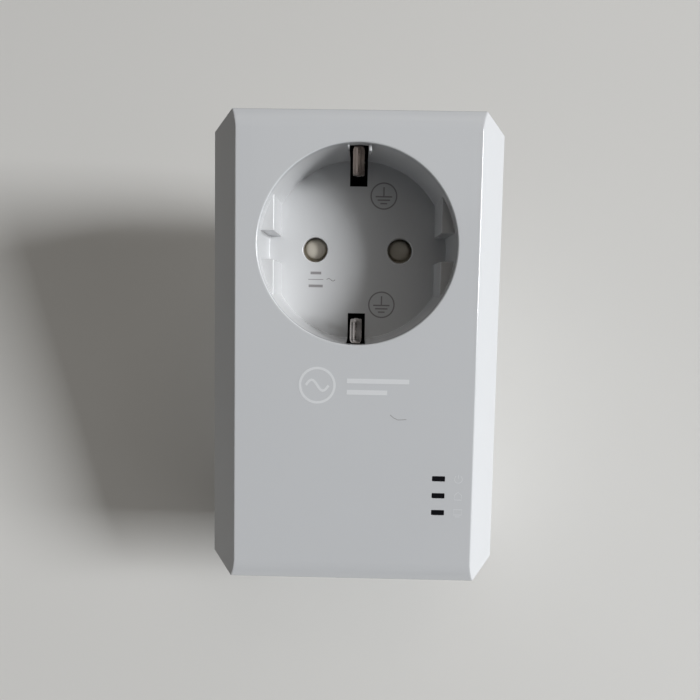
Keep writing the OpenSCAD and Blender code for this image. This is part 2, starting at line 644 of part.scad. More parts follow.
module flash_chip() color("black") {
  on_front([4.5, -57], [9.5, -51.5], 1.6);
  legs([4.5, -57], [9.5, -51.5], 4, 0.3);
}
module ethernet_magnetics() color("black") {
  on_front([-14, -62], [0, -54], 6);
  legs([-14, -62], [0, -54], 6, 0.3);
}
module crystal() color("silver") {
  on_front([-20.3, -44.3], [-16.2, -38.7], 0.4);
  for (z = [-42.6, -40.4]) rod_y(1.7, y_board - 1.5, y_board - 0.3, [-18.25, z]);
  on_front([-19.95, -42.6], [-16.55, -40.4], 1.5);
}

// Insulated leads from the contact tabs down to the board
module lead(s) tube_along(bezier([s * pin_x, y_strap - 1, -13.4], [s * pin_x, y_strap - 1, -20],
  [s * 15.2, y_board_back + 14, -25.4], [s * 15.2, y_board_back + 0.08, -25.4], 16), 0.9, 10);
module line_lead() color("brown") lead(-1);
module neutral_lead() color("blue") lead(1);

front_cover();
rear_cover();
socket_cup();
plug_body();
plug_pin_left();
plug_pin_right();
plug_earth_contact_top();
plug_earth_contact_bottom();
plug_earth_tube();
earth_clip_top();
earth_clip_bottom();
earth_strap();
line_contact();
neutral_contact();
line_ferrite();
neutral_ferrite();
contact_carrier();
carrier_screws();
shutter();
shutter_spring();
main_board();
board_screws();
ethernet_jack();
ethernet_contacts();
ethernet_shield();
pair_button();
switch_body();
switch_plunger();
light_pipe();
status_leds();
power_transformer();
smoothing_capacitors();
suppression_capacitor();
noise_choke();
choke_windings();
surge_varistor();
fuse();
coupling_transformer();
bridge_rectifier();
main_processor();
thermal_pad();
heat_sink();
memory_chip();
flash_chip();
ethernet_magnetics();
crystal();
line_lead();
neutral_lead();
case_screws();
rear_label();
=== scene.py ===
"""Powerline adapter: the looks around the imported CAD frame. Lengths are millimetres, scaled by MM."""
import math

import bmesh
import bpy
from mathutils import Matrix, Vector


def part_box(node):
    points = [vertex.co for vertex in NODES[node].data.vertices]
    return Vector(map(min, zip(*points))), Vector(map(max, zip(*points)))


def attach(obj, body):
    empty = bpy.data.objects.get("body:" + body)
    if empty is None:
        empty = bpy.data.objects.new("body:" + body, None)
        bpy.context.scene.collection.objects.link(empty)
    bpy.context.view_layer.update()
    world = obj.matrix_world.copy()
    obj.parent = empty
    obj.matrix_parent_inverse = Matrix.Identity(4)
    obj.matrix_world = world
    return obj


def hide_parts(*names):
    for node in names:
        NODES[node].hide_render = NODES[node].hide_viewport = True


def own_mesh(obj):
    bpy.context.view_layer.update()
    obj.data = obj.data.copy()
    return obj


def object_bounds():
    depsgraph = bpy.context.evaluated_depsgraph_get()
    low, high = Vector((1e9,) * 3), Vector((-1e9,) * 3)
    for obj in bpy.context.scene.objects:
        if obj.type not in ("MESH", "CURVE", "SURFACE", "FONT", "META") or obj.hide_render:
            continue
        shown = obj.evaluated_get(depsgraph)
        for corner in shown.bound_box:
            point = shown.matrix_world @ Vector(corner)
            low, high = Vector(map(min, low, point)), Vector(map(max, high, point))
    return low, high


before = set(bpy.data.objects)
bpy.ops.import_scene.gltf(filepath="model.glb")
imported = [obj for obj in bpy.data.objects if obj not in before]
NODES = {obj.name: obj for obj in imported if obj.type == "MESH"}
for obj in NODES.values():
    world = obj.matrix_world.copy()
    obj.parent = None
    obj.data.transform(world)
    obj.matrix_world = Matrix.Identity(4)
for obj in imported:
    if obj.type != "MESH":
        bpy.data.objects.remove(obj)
cad_lo, cad_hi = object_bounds()
MM = 0.001


def box_mm(name):
    return [[v / MM for v in corner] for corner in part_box(name)]


# ---- Sizes, taken from the CAD frame's boxes, with the design's own roundings ----
front_lo, front_hi = box_mm("front_cover")
cup_hi = box_mm("socket_cup")[1]
rear_hi = box_mm("rear_cover")[1]
board_lo, board_hi = box_mm("main_board")
FIT = 0.1              # gap left between the design's parts
Y_FRONT = front_lo[1]
Y_FACE = Y_FRONT + 0.03     # the thin marks fill the rest
Y_BACK = rear_hi[1]
Y_SPLIT = board_lo[1] + FIT
Y_FLOOR_BACK = cup_hi[1]
Y_FLOOR = Y_FLOOR_BACK - 2
CASE_X = front_hi[0]
Z_TOP = front_hi[2]
Z_LOW = front_lo[2]
FRONT_X = 24.4         # half the width of the flat front face
WALL = 2.0
BEVEL_D = 6.0          # the side bevels end this far behind the front face
SIDE = (CASE_X - FRONT_X) / BEVEL_D
CORNER_X = FRONT_X + 0.6    # each corner is cut from here at the end of the case
CORNER_H = 3.65        # down to this far along its side
RECESS_R = 20.0
CUP_R = 19.9
CUP_WALL = 1.7
CUP_FLANGE = 1.0
PIN_X = 9.5
PIN_HOLE_R = 2.75
SLOT_INNER = 14.1      # where the earth slots start in the recess floor
BEYOND = 1             # cutters reach this far past what they cut


# ---- Mesh helpers ----
def new_object(name, verts, faces):
    mesh = bpy.data.meshes.new(name)
    mesh.from_pydata([Vector(v) * MM for v in verts], [], faces)
    mesh.validate()
    bm = bmesh.new()
    bm.from_mesh(mesh)
    bmesh.ops.remove_doubles(bm, verts=bm.verts, dist=1e-7)
    bmesh.ops.recalc_face_normals(bm, faces=bm.faces)
    bm.to_mesh(mesh)
    bm.free()
    o = bpy.data.objects.new(name, mesh)
    bpy.context.scene.collection.objects.link(o)
    return o


def bake(o):
    """Applies the object's modifiers to its mesh."""
    mesh = bpy.data.meshes.new_from_object(o.evaluated_get(bpy.context.evaluated_depsgraph_get()))
    old = o.data
    o.modifiers.clear()
    o.data = mesh
    bpy.data.meshes.remove(old)


def combine(o, other, how="DIFFERENCE"):
    """A boolean with another object, which it uses up."""
    m = o.modifiers.new("cut", "BOOLEAN")
    m.operation = how
    m.solver = "EXACT"
    m.object = other
    bake(o)
    bpy.data.objects.remove(other)


def join(objects, name):
    verts, faces = [], []
    for o in objects:
        base = len(verts)
        verts += [v.co / MM for v in o.data.vertices]
        faces += [[base + i for i in p.vertices] for p in o.data.polygons]
        bpy.data.objects.remove(o)
    return new_object(name, verts, faces)


def soften(o, width, segments, angle):
    """A small rounding on every edge sharper than the angle, so that edges catch the light."""
    m = o.modifiers.new("edges", "BEVEL")
    m.width = width * MM
    m.segments = segments
    m.limit_method = "ANGLE"
    m.angle_limit = math.radians(angle)
    m.use_clamp_overlap = True
    m.harden_normals = False


def even_normals(o):
    w = o.modifiers.new("normals", "WEIGHTED_NORMAL")
    w.keep_sharp = True
    return w


def shade(o, angle=38):
    """Smooth shading, with the edges sharper than the angle kept sharp."""
    for p in o.data.polygons:
        p.use_smooth = True
    o.data.set_sharp_from_angle(angle=math.radians(angle))
    even_normals(o).weight = 80


def polar(cx, cy, r, angle):
    a = math.radians(angle)
    return cx + r * math.cos(a), cy + r * math.sin(a)


def arc(cx, cy, r, a0, a1, n):
    return [polar(cx, cy, r, a0 + (a1 - a0) * i / n) for i in range(n + 1)]


def circle(cx, cz, r, n=64):
    return arc(cx, cz, r, 0, 360, n)[:-1]


def loft(rings, cap_first=True, cap_last=True):
    """Quads between rings of the same number of points."""
    n = len(rings[0])
    verts = [p for r in rings for p in r]
    faces = [[i * n + k, i * n + (k + 1) % n, (i + 1) * n + (k + 1) % n, (i + 1) * n + k]
             for i in range(len(rings) - 1) for k in range(n)]
    if cap_first:
        faces.append(list(range(n))[::-1])
    if cap_last:
        faces.append([(len(rings) - 1) * n + k for k in range(n)])
    return verts, faces


def turned(name, profile, at=(0, 0), n=128):
    """Closed solid of revolution along Y. The (radius, y) profile ends on the axis or at its start."""
    verts, faces, rows = [], [], []
    for r, y in profile:
        if r < 1e-6:
            rows.append([len(verts)] * n)
            verts.append((at[0], y, at[1]))
        else:
            rows.append([len(verts) + k for k in range(n)])
            verts += [(x, y, z) for x, z in circle(at[0], at[1], r, n)]
    for a, b in zip(rows, rows[1:]):
        for k in range(n):
            f = [a[k], a[(k + 1) % n], b[(k + 1) % n], b[k]]
            f = [v for i, v in enumerate(f) if v != f[i - 1]]
            if len(set(f)) > 2:
                faces.append(f)
    return new_object(name, verts, faces)


def rod(name, r, y0, y1, at, n=64):
    return turned(name, [(0, y0), (r, y0), (r, y1), (0, y1)], at, n)


def fillet_hole(name, r, y_face, fillet, through, at=(0, 0), n=128):
    """Cutter for a round hole in a face at y_face that looks towards -Y, with a rounded mouth."""
    mouth = r + fillet
    profile = [(0, y_face - 2), (mouth, y_face - 2), (mouth, y_face)]
    profile += arc(mouth, y_face + fillet, fillet, 255, 180, 5)
    profile += [(r, y_face + through), (0, y_face + through)]
    return turned(name, profile, at, n)


def prism_x(name, outline, x0, x1):
    """A (y, z) outline between x0 and x1."""
    return new_object(name, *loft([[(x, y, z) for y, z in outline] for x in (x0, x1)]))


def prism_y(name, outline, y0, y1):
    """An (x, z) outline between y0 and y1."""
    return new_object(name, *loft([[(x, y, z) for x, z in outline] for y in (y0, y1)]))


def prism_z(name, outline, z0, z1):
    """An (x, y) outline between z0 and z1."""
    return new_object(name, *loft([[(x, y, z) for x, y in outline] for z in (z0, z1)]))


def slab(name, lo, hi):
    x0, y0, z0 = lo
    x1, y1, z1 = hi
    return prism_y(name, [(x0, z0), (x1, z0), (x1, z1), (x0, z1)], y0, y1)


def round_rect(x, z0, z1, r, n=7):
    pts = []
    for cx, cz, a in ((x - r, z1 - r, 0), (-x + r, z1 - r, 90), (-x + r, z0 + r, 180), (x - r, z0 + r, 270)):
        pts += arc(cx, cz, r, a, a + 90, n)
    return pts


def round_box(cx, cz, w, h, r, n=5):
    return [(cx + x, cz + z) for x, z in round_rect(w / 2, -h / 2, h / 2, r, n)]


def stadium(c0, c1, r, across, upright=False):
    """A slot's outline with round ends centred on c0 and c1, at a place across it."""
    if upright:
        return arc(across, c1, r, 0, 180, 8) + arc(across, c0, r, 180, 360, 8)
    return arc(c1, across, r, -90, 90, 8) + arc(c0, across, r, 90, 270, 8)


def ring(y, x, z0, z1, r):
    return [(px, y, pz) for px, pz in round_rect(x, z0, z1, r)]


# ---- The two covers, as stacks of rectangles along Y ----
EDGE_R = 0.55          # rounding between the front face and the side bevels
CROWN_R = 8.5          # the front face curves back over its last 4 mm at the top and the bottom
CROWN_L = 4.0
END_R = 0.55           # rounding between that curve and the ends
BACK_R = 1.6           # rounding round the back face
RING_R = 0.3           # the outer corners are cut off later
INNER_R = 4.6          # the inner corners are round, so that the wall stays even behind the cuts
JOINT_R = 0.22         # the edges at the joint are rounded over this much, in two steps
JOINT_STEP, JOINT_STEP_IN, JOINT_IN = 0.1, 0.06, 0.2
JOINT_GAP = 0.02
REAR_DRAFT = 1.0       # how far the sides lean in over the rear cover
REAR_END_DRAFT = 0.6
bevel_angle = math.atan2(1, SIDE)                       # turn from the front face onto a bevel
edge_t = EDGE_R * math.tan(bevel_angle / 2)
crown_turn = math.asin((CROWN_L - END_R) / (CROWN_R - END_R))
end_depth = CROWN_R - math.sqrt((CROWN_R - END_R) ** 2 - (CROWN_L - END_R) ** 2)
depth = Y_SPLIT - Y_FRONT
full = Y_BACK - Y_FRONT


def half_width(d):
    """Half the case's width at depth d behind the front face."""
    if d < EDGE_R * (1 - math.cos(bevel_angle)):
        return FRONT_X - edge_t + EDGE_R * math.sin(math.acos(1 - d / EDGE_R))
    return min(FRONT_X + SIDE * d, CASE_X)


def end_drop(d):
    """How far the rounded ends lie inside the full height at depth d."""
    if d < CROWN_R * (1 - math.cos(crown_turn)):
        return CROWN_L - CROWN_R * math.sin(math.acos(1 - d / CROWN_R))
    if d < end_depth:
        return END_R - END_R * math.sin(math.acos((end_depth - d) / END_R))
    return 0.0


def front_ring(d, inset=0.0, y=None):
    drop = end_drop(d) + inset
    return ring(Y_FACE + d if y is None else y, half_width(d) - inset, Z_LOW + drop, Z_TOP - drop, RING_R)


def rear_ring(d, inset=0.0, y=None):
    k = (d - depth) / (Y_BACK - Y_SPLIT)
    x = CASE_X - REAR_DRAFT * k - inset
    drop = REAR_END_DRAFT * k + inset
    r = INNER_R if inset >= WALL else RING_R
    return ring(Y_FRONT + d if y is None else y, x, Z_LOW + drop, Z_TOP - drop, r)


def corner_cuts():
    """Cutters that take the four corners off a cover, each a wedge running straight back."""
    dx = CASE_X - CORNER_X
    x0, z0 = CORNER_X - dx, Z_TOP + CORNER_H             # the cut's line, carried on past both its ends
    x1, z1 = CORNER_X + 2 * dx, Z_TOP - 2 * CORNER_H
    outside = 6
    wedge = [(x0, z0), (x1, z1), (x1 + outside, z1), (x1 + outside, z0 + outside), (x0, z0 + outside)]
    cuts = []
    for upper in (True, False):
        for s in (1, -1):
            outline = [(s * x, z if upper else Z_TOP + Z_LOW - z) for x, z in wedge]
            cuts.append(prism_y("wedge", outline, Y_FRONT - BEYOND, Y_BACK + BEYOND))
    return join(cuts, "cut")


# Depths of the front shell's rings: a few along the flat sides and more round each rounding
levels = {0.0, 1.5, 3.0, 4.5, BEVEL_D - (Y_FACE - Y_FRONT), 9.0, 12.0, depth - JOINT_R}
levels |= {EDGE_R * (1 - math.cos(bevel_angle * i / 7)) for i in range(1, 8)}
levels |= {CROWN_R * (1 - math.cos(crown_turn * i / 9)) for i in range(1, 10)}
levels |= {end_depth - END_R * math.cos(crown_turn + (math.pi / 2 - crown_turn) * i / 7) for i in range(1, 8)}
outer = [front_ring(d) for d in sorted(levels)]
outer += [front_ring(depth - JOINT_STEP, JOINT_STEP_IN), front_ring(depth, JOINT_IN, Y_SPLIT - JOINT_GAP)]
inner = []
bevel_wall = WALL * math.sqrt(1 + SIDE ** 2)
for d in (depth, BEVEL_D + (bevel_wall - WALL) / SIDE, WALL + 1.2, WALL):
    side = min(FRONT_X + SIDE * d - bevel_wall, CASE_X - WALL)
    pull = 0.0 if d > WALL else 0.8
    inner.append(ring(Y_FRONT + d, side - pull, Z_LOW + WALL + pull, Z_TOP - WALL - pull, INNER_R))
front_shell = new_object("front_shell", *loft(outer + inner))

light_lo, light_hi = box_mm("light_pipe")
LIGHT_X = (light_lo[0] + light_hi[0]) / 2
LIGHT_TOP, LIGHT_STEP = -47.1, 3.53
LIGHT_Z = [LIGHT_TOP - LIGHT_STEP * i for i in range(3)]
LIGHT_W, LIGHT_H, LIGHT_R = 2.65, 1.1, 0.18
windows = []
for z in LIGHT_Z:
    outline = round_box(LIGHT_X, z, LIGHT_W, LIGHT_H, LIGHT_R)
    windows.append(prism_y("w", outline, Y_FRONT, Y_FRONT + 2 * WALL))
combine(front_shell, corner_cuts())
combine(front_shell, fillet_hole("cut", RECESS_R, Y_FACE, 0.3, 2 * WALL, n=192))
combine(front_shell, join(windows, "cut"))
soften(front_shell, 0.16, 2, 36)
shade(front_shell, 34)

outer = [rear_ring(depth, JOINT_IN, Y_SPLIT + JOINT_GAP), rear_ring(depth + JOINT_STEP, JOINT_STEP_IN)]
outer += [rear_ring(depth + JOINT_R), rear_ring(depth + 12)]
for out, back in arc(0, 0, BACK_R, 0, 90, 10):
    outer.append(rear_ring(full - BACK_R + back, BACK_R - out))
inner = [rear_ring(full - WALL, WALL + 0.5), rear_ring(full - WALL - 0.7, WALL)]
inner.append(rear_ring(depth + JOINT_GAP, WALL))
n_ring = len(outer[0])
rings = outer + inner
verts, faces = loft(rings, False, False)
a, b = (len(outer) - 1) * n_ring, len(outer) * n_ring
# The back wall has a face on each side, and none between the outside and the inside
faces = [f for f in faces if not (a <= min(f) < b <= max(f))]
faces.append([a + k for k in range(n_ring)])
faces.append([b + k for k in range(n_ring)][::-1])
last = (len(rings) - 1) * n_ring
faces += [[last + k, last + (k + 1) % n_ring, (k + 1) % n_ring, k] for k in range(n_ring)]
rear_shell = new_object("rear_shell", verts, faces)
combine(rear_shell, corner_cuts())

# Screw posts and their wells. Profiles are (radius, distance behind the back face).
BOSS_X, BOSS_R = 19.5, 4.1
bosses = [(x, z) for x in (-BOSS_X, BOSS_X) for z in (Z_TOP - 6.8, Z_LOW + 7.1)]
WELL = ((0, -10), (1.6, -10), (1.6, -6), (3.0, -6), (3.0, -0.4), (3.15, -0.12), (3.4, 0), (3.4, 1), (0, 1))
PLUG_R = 18.5
HOLE_R, MOUTH_R = PLUG_R + FIT, PLUG_R + 0.35
PLUG_HOLE = ((0, -4), (HOLE_R, -4), (HOLE_R, -0.3), (MOUTH_R, 0), (MOUTH_R, 1), (0, 1))
for at in bosses:
    combine(rear_shell, rod("boss", BOSS_R, Y_BACK - 9, Y_BACK - 1, at, 48), "UNION")
for at in bosses:
    combine(rear_shell, turned("well", [(r, Y_BACK + y) for r, y in WELL], at, 64))
combine(rear_shell, turned("cut", [(r, Y_BACK + y) for r, y in PLUG_HOLE], n=160))

# Vents in both sides and in the top end
VENT_Y = (Y_SPLIT + 5, Y_BACK - 6)
SIDE_VENT_R, SIDE_VENT_LOW, SIDE_VENT_STEP = 0.8, -50, 4
TOP_VENT_R, TOP_VENT_STEP = 1.1, 5
vents = []
for s in (-1, 1):
    for i in range(10):
        outline = stadium(VENT_Y[0] + SIDE_VENT_R, VENT_Y[1] - SIDE_VENT_R, SIDE_VENT_R,
                          SIDE_VENT_LOW + SIDE_VENT_STEP * i)
        vents.append(prism_x("v", outline, s * 25, s * 32))
for i in range(-3, 4):
    outline = stadium(VENT_Y[0] + TOP_VENT_R, VENT_Y[1] - TOP_VENT_R, TOP_VENT_R,
                      TOP_VENT_STEP * i, upright=True)
    vents.append(prism_z("v", outline, Z_TOP - 5, Z_TOP + 2))
combine(rear_shell, join(vents, "cut"))

# Openings for the network socket and the pairing button, and the label's shallow field
shield_lo, shield_hi = box_mm("ethernet_shield")
button_lo, button_hi = box_mm("pair_button")
PORT = ((shield_lo[0] + shield_hi[0]) / 2, (shield_lo[1] + shield_hi[1]) / 2)
BUTTON = ((button_lo[0] + button_hi[0]) / 2, board_hi[1] + 3.2)
PORT_OPENING, BUTTON_OPENING = (16.2, 13.6, 0.5), (7.6, 4.8, 1.0)      # across, along Y, corner radius
for at, size in ((PORT, PORT_OPENING), (BUTTON, BUTTON_OPENING)):
    combine(rear_shell, prism_z("cut", round_box(*at, *size), Z_LOW - BEYOND, Z_LOW + 5))
LABEL_AT, LABEL_FIELD, LABEL_SUNK = (0, -41), (40.2, 30.2, 1.0), 0.2
label_outline = round_box(*LABEL_AT, *LABEL_FIELD)
combine(rear_shell, prism_y("cut", label_outline, Y_BACK - LABEL_SUNK, Y_BACK + BEYOND))
soften(rear_shell, 0.14, 2, 50)
shade(rear_shell, 40)

# ---- Socket insert ----
FLOOR_FILLET = 0.15
floor_r = CUP_R - 0.04                      # the wall narrows this little towards the floor
flange_y = Y_FRONT + WALL
flange_front, flange_back = flange_y + 0.01, flange_y + 1.4
cup_out = CUP_R + CUP_WALL
flange_out = cup_out + CUP_FLANGE
wall_profile = [(0, Y_FLOOR_BACK), (cup_out, Y_FLOOR_BACK), (cup_out, flange_back), (flange_out, flange_back)]
wall_profile += [(flange_out, flange_front), (CUP_R + 0.14, flange_front), (CUP_R, Y_FRONT + 8)]
wall_profile += arc(floor_r - FLOOR_FILLET, Y_FLOOR - FLOOR_FILLET, FLOOR_FILLET, 0, 90, 5)
wall_profile += [(0, Y_FLOOR)]
cup = turned("socket_insert", wall_profile, n=192)
for x in (-PIN_X, PIN_X):
    combine(cup, fillet_hole("cut", PIN_HOLE_R, Y_FLOOR, 0.28, 4, (x, 0), 64))
SLOT_HALF, SLOT_OUTER = 1.95, 24
for s in (-1, 1):
    z0, z1 = sorted((s * SLOT_INNER, s * SLOT_OUTER))
    combine(cup, slab("cut", (-SLOT_HALF, flange_y + 1.0, z0), (SLOT_HALF, Y_FLOOR_BACK + BEYOND, z1)))

GUIDE_X = 17.1         # the flat guide faces' distance from the socket's axis
GROOVE_HALF = 2.87
GUIDE_DEPTH = 4.0      # the guide blocks start this far behind the front
SUNK = 0.4             # and their hidden sides reach this far into the wall and the floor


def guide_block(sx, sz):
    """One of the four guide blocks: a slice of the recess between the guide face, the groove and the wall."""
    r = CUP_R + SUNK
    a0 = math.degrees(math.asin(GROOVE_HALF / r))
    a1 = math.degrees(math.acos(GUIDE_X / r))
    outline = [(sx * x, sz * z) for x, z in [(GUIDE_X, GROOVE_HALF)] + arc(0, 0, r, a0, a1, 10)]
    if sx * sz < 0:
        outline = outline[::-1]
    o = prism_y("block", outline, Y_FRONT + GUIDE_DEPTH, Y_FLOOR + SUNK)
    soften(o, 0.4, 4, 30)
    bake(o)
    return o


blocks = [guide_block(sx, sz) for sx in (-1, 1) for sz in (-1, 1)]
# Small stops beside the mouth of the upper earth slot, as (x, width, lower end)
for x, w, low in ((2.3, 0.6, 18.6), (-2.1, 0.4, 19.35)):
    outline = round_box(x, (low + CUP_R) / 2, w, CUP_R - low, 0.2)
    stop = prism_y("stop", outline, Y_FRONT + 1.4, Y_FRONT + 6)
    soften(stop, 0.12, 2, 40)
    bake(stop)
    blocks.append(stop)
soften(cup, 0.1, 2, 50)
bake(cup)
cup = join([cup] + blocks, "socket_insert")
shade(cup, 40)

# ---- Dark sheets of painted shade in the two earth slots: side walls, end walls and a back with an opening for the clip ----
SHADE_SHEET_X, SHADE_SHEET_IN = 1.94, 1.84              # outside and inside of the side walls
SHADE_SHEET_LOW, SHADE_SHEET_MOUTH, SHADE_SHEET_TOP = 14.15, 19.85, 22.9
CLIP_X, CLIP_LOW, CLIP_TOP = 1.35, 17.1, 19.95
y0, y1 = flange_y + 1.05, Y_FLOOR_BACK + 0.15
y_low, y_back = Y_FLOOR + 0.05, Y_FLOOR_BACK
side_walls = [((SHADE_SHEET_IN, y0, SHADE_SHEET_MOUTH), (SHADE_SHEET_X, y1, SHADE_SHEET_TOP)),
              ((SHADE_SHEET_IN, y_low, SHADE_SHEET_LOW), (SHADE_SHEET_X, y1, SHADE_SHEET_MOUTH)),
              ((CLIP_X, y_back, CLIP_LOW), (SHADE_SHEET_IN, y1, CLIP_TOP))]
end_walls = [((-SHADE_SHEET_X, y0, SHADE_SHEET_TOP - 0.12), (SHADE_SHEET_X, y1, SHADE_SHEET_TOP)),
             ((-SHADE_SHEET_IN, y_low, SHADE_SHEET_LOW - 0.03), (SHADE_SHEET_IN, y1, SHADE_SHEET_LOW + 0.1)),
             ((-SHADE_SHEET_IN, y_back, SHADE_SHEET_LOW + 0.1), (SHADE_SHEET_IN, y1, CLIP_LOW)),
             ((-SHADE_SHEET_IN, y_back, CLIP_TOP), (SHADE_SHEET_IN, y1, SHADE_SHEET_TOP - 0.1))]
walls = end_walls + side_walls + [((-x1, ya, za), (-x0, yb, zb)) for (x0, ya, za), (x1, yb, zb) in side_walls]
shade_sheets = []
for s in (-1, 1):
    for (xa, ya, za), (xb, yb, zb) in walls:
        low, high = sorted((s * za, s * zb))
        shade_sheets.append(slab("part", (xa, ya, low), (xb, yb, high)))
slot_shade_sheet = join(shade_sheets, "slot_shade_sheet")
shade(slot_shade_sheet)


# ---- Thin marks: ribbons that lie on a face looking towards -Y ----
def ribbon(points, width, y, thick=0.02, closed=False):
    n = len(points)
    left, right = [], []
    for i, p in enumerate(points):
        a = points[i - 1] if i or closed else points[0]
        b = points[(i + 1) % n] if i < n - 1 or closed else points[-1]
        dx, dz = b[0] - a[0], b[1] - a[1]
        k = width / 2 / math.hypot(dx, dz)
        left.append((p[0] - dz * k, p[1] + dx * k))
        right.append((p[0] + dz * k, p[1] - dx * k))
    verts, faces = [], []
    for (lx, lz), (rx, rz) in zip(left, right):
        verts += [(lx, y, lz), (lx, y - thick, lz), (rx, y - thick, rz), (rx, y, rz)]
    for i in range(n if closed else n - 1):
        j = (i + 1) % n
        faces += [[4 * i + k, 4 * i + (k + 1) % 4, 4 * j + (k + 1) % 4, 4 * j + k] for k in range(4)]
    if not closed:
        faces += [[0, 1, 2, 3], [4 * n - 1, 4 * n - 2, 4 * n - 3, 4 * n - 4]]
    return new_object("r", verts, faces)


def bar(x0, x1, z, width, y):
    return ribbon([(x0, z), (x1, z)], width, y)


def wave(cx, cz, length, height, n=16):
    return [(cx + length * (i / n - 0.5), cz + height * math.sin(2 * math.pi * i / n)) for i in range(n + 1)]


def earth_mark(cx, cz, w=0.31):
    parts = [ribbon(circle(cx, cz, 2.85), w, Y_FLOOR, closed=True)]
    parts.append(ribbon([(cx, cz + 1.95), (cx, cz - 0.1)], w, Y_FLOOR))
    parts += [bar(cx - x, cx + x, cz - z, w, Y_FLOOR) for x, z in ((1.85, 0.15), (1.4, 0.9), (0.75, 1.65))]
    return parts


# Plain bars and a wave stand where the rating is
RATING_Z = -6.65
BAR_W, LINE_W = 0.6, 0.16
marks = earth_mark(5.65, 12.1) + earth_mark(5.6, -12.1)
marks.append(bar(-10.5, -8.1, RATING_Z + 1.45, BAR_W, Y_FLOOR))
marks.append(bar(-11.0, -7.6, RATING_Z, LINE_W, Y_FLOOR))
marks.append(bar(-10.9, -7.7, RATING_Z - 1.45, BAR_W, Y_FLOOR))
marks.append(ribbon(wave(-5.9, RATING_Z, 1.9, 0.28), LINE_W, Y_FLOOR))
recess_marks = join(marks, "recess_marks")

# Plain signs beside the lights: a broken ring with a stroke, a house and a screen on a foot
ICON_X = 21.5
RING_W, ICON_W = 0.11, 0.1
HOUSE = ((-0.75, -0.8), (-0.75, 0.15), (0, 0.85), (0.75, 0.15), (0.75, -0.8))
SCREEN = ((-0.85, -0.4), (-0.85, 0.7), (0.85, 0.7), (0.85, -0.4))
icons = [ribbon(arc(ICON_X, LIGHT_Z[0], 0.8, 125, 415, 24), RING_W, Y_FACE)]
icons.append(ribbon([(ICON_X, LIGHT_Z[0] + 0.95), (ICON_X, LIGHT_Z[0] + 0.1)], RING_W, Y_FACE))
icons.append(ribbon([(ICON_X + x, LIGHT_Z[1] + z) for x, z in HOUSE], ICON_W, Y_FACE, closed=True))
icons.append(ribbon([(ICON_X + x, LIGHT_Z[2] + z) for x, z in SCREEN], ICON_W, Y_FACE, closed=True))
icons.append(bar(ICON_X - 0.5, ICON_X + 0.5, LIGHT_Z[2] - 0.8, ICON_W, Y_FACE))
# A plain emblem: a wave in a ring, with two bars beside it
EMBLEM = (-7.6, -28.3)
EMBLEM_W, EMBLEM_BAR_W = 0.5, 0.95
icons.append(ribbon(circle(*EMBLEM, 3.5), EMBLEM_W, Y_FACE, closed=True))
icons.append(ribbon(wave(*EMBLEM, 4.6, 1.1), EMBLEM_W, Y_FACE))
icons.append(bar(-1.6, 11.0, EMBLEM[1] + 1.0, EMBLEM_BAR_W, Y_FACE))
icons.append(bar(-1.6, 6.6, EMBLEM[1] - 1.3, EMBLEM_BAR_W, Y_FACE))
front_marks = join(icons, "front_marks")
scratch = ribbon([(7.3, -34.1), (8.0, -34.7), (8.9, -35.1), (10.6, -35.0)], 0.12, Y_FACE, 0.012)
scratch.name = "front_scratch"

# ---- Earth clips: crowned spring strips along the CAD clip's own line, as (y, z) ----
CLIP_ROOT = (Y_FLOOR_BACK + 2.1, 18.5)
CLIP_CREST = (Y_FRONT + 9.5, 15.1)
CLIP_TIP = (Y_FRONT + 2.8, 19.6)
CLIP_HALF = 1.2
# Half of the outer face, from the middle out: a raised band, a narrow slope and the flat flank
CLIP_FACE = [(0.0, -0.17), (0.2, -0.165), (0.34, -0.15), (0.40, -0.12), (0.48, -0.07), (0.54, -0.05),
             (0.8, -0.04), (1.05, -0.01), (1.15, 0.03), (CLIP_HALF, 0.1)]
CLIP_UNDER = [(CLIP_HALF, 0.16), (CLIP_HALF * 0.93, 0.23), (CLIP_HALF * 0.5, 0.25)]
# The rolled root, as (x, radius)
KNUCKLE = ((-1.25, 0.85), (-1.1, 0.98), (1.1, 0.98), (1.25, 0.85))


def clip_line(n=22):
    start = CLIP_ROOT[0] - 1.6
    pts = [CLIP_ROOT, (CLIP_ROOT[0] - 0.8, CLIP_ROOT[1])]
    for i in range(n + 1):
        u = i / n
        k = (1 - math.cos(math.pi * u)) / 2
        pts.append((start + (CLIP_CREST[0] - start) * u, CLIP_ROOT[1] + (CLIP_CREST[1] - CLIP_ROOT[1]) * k))
    turn = math.radians(150)
    for i in range(1, n):
        u = i / (n - 1)
        k = (1 - math.cos(turn * u)) / (1 - math.cos(turn))
        pts.append(tuple(c + (t - c) * w for c, t, w in zip(CLIP_CREST, CLIP_TIP, (u, k))))
    return pts


def clip(name, s):
    line = clip_line()
    section = [(-x, h) for x, h in CLIP_FACE[:0:-1]] + CLIP_FACE
    section += CLIP_UNDER + [(-x, h) for x, h in CLIP_UNDER[::-1]]
    rings = []
    for i, (y, z) in enumerate(line):
        a, b = line[max(i - 1, 0)], line[min(i + 1, len(line) - 1)]
        dy, dz = b[0] - a[0], b[1] - a[1]
        k = math.hypot(dy, dz)
        ny, nz = dz / k, -dy / k                     # outward, away from the socket's axis
        narrow = 1 - 0.25 * max(0, (i - len(line) + 5) / 4) ** 2
        rings.append([(x * narrow, y + ny * h, s * (z + nz * h)) for x, h in section])
    strip = new_object(name, *loft(rings))
    root = (CLIP_ROOT[0], s * CLIP_ROOT[1])
    knuckle = new_object("k", *loft([[(x, y, z) for y, z in circle(*root, r, 32)] for x, r in KNUCKLE]))
    o = join([strip, knuckle], name)
    shade(o, 50)
    return o


clip_top = clip("clip_top", 1)
clip_bottom = clip("clip_bottom", -1)

